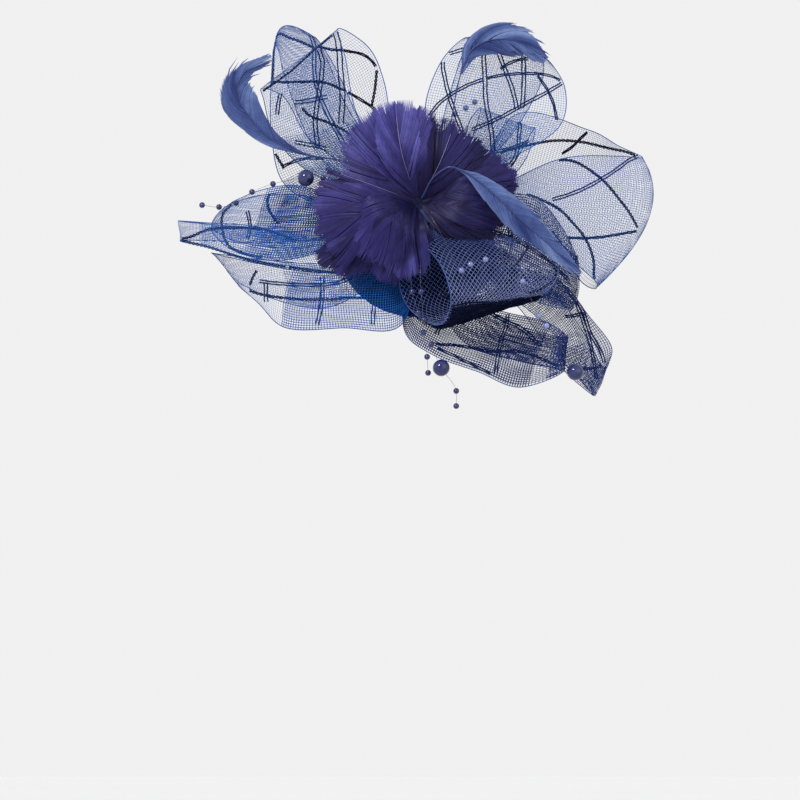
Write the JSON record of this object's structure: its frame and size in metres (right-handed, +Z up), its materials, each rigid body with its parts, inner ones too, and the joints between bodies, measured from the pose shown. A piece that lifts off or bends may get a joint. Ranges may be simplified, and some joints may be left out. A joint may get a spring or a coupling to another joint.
{
  "type": "mesh and feather fascinator",
  "caption": "Fascinator of checked crinoline ribbon loops round a feather flower, with loose feathers and bead sprays, on a domed felt base with a hair clip.",
  "frame": {"origin": "middle of the underside of the base, where it sits on the head", "axes": "+Z up as worn, -Y to the front, +X to the right as seen from the front; the base faces forwards and 35 degrees up"},
  "size_m": [0.2387, 0.0869, 0.194],
  "materials": {
    "felt": "matt pressed felt",
    "wrapped_thread": "wound sewing thread",
    "steel": "plain spring steel",
    "blue_crinoline": "open nylon mesh with a dark check",
    "navy_crinoline": "open nylon mesh with a dark check",
    "violet_feather": "dyed feather, soft sheen",
    "blue_feather": "dyed feather, soft sheen",
    "pearl": "glossy pearl bead"
  },
  "bodies": {
    "root": {"base": "felt", "post": "wrapped_thread", "hair_clip": "steel", "back_left_loop": "blue_crinoline", "front_left_loop": "blue_crinoline", "back_right_loop": "blue_crinoline", "inner_right_loop": "blue_crinoline", "right_loop": "blue_crinoline", "left_cone_loop": "blue_crinoline", "left_round_loop": "blue_crinoline", "forehead_loop": "blue_crinoline", "front_cone_loop": "navy_crinoline", "lower_right_loop": "navy_crinoline", "tail_loop": "navy_crinoline", "right_round_loop": "navy_crinoline", "feather_flower": "violet_feather", "left_feather": "blue_feather", "top_feather": "blue_feather", "right_feather": "blue_feather", "left_bead_spray": "pearl", "hanging_bead_strand": "pearl", "pearl_drop_strand": "pearl", "cone_bead_strand": "pearl", "inner_bead_strand": "pearl"}
  },
  "joints": []
}
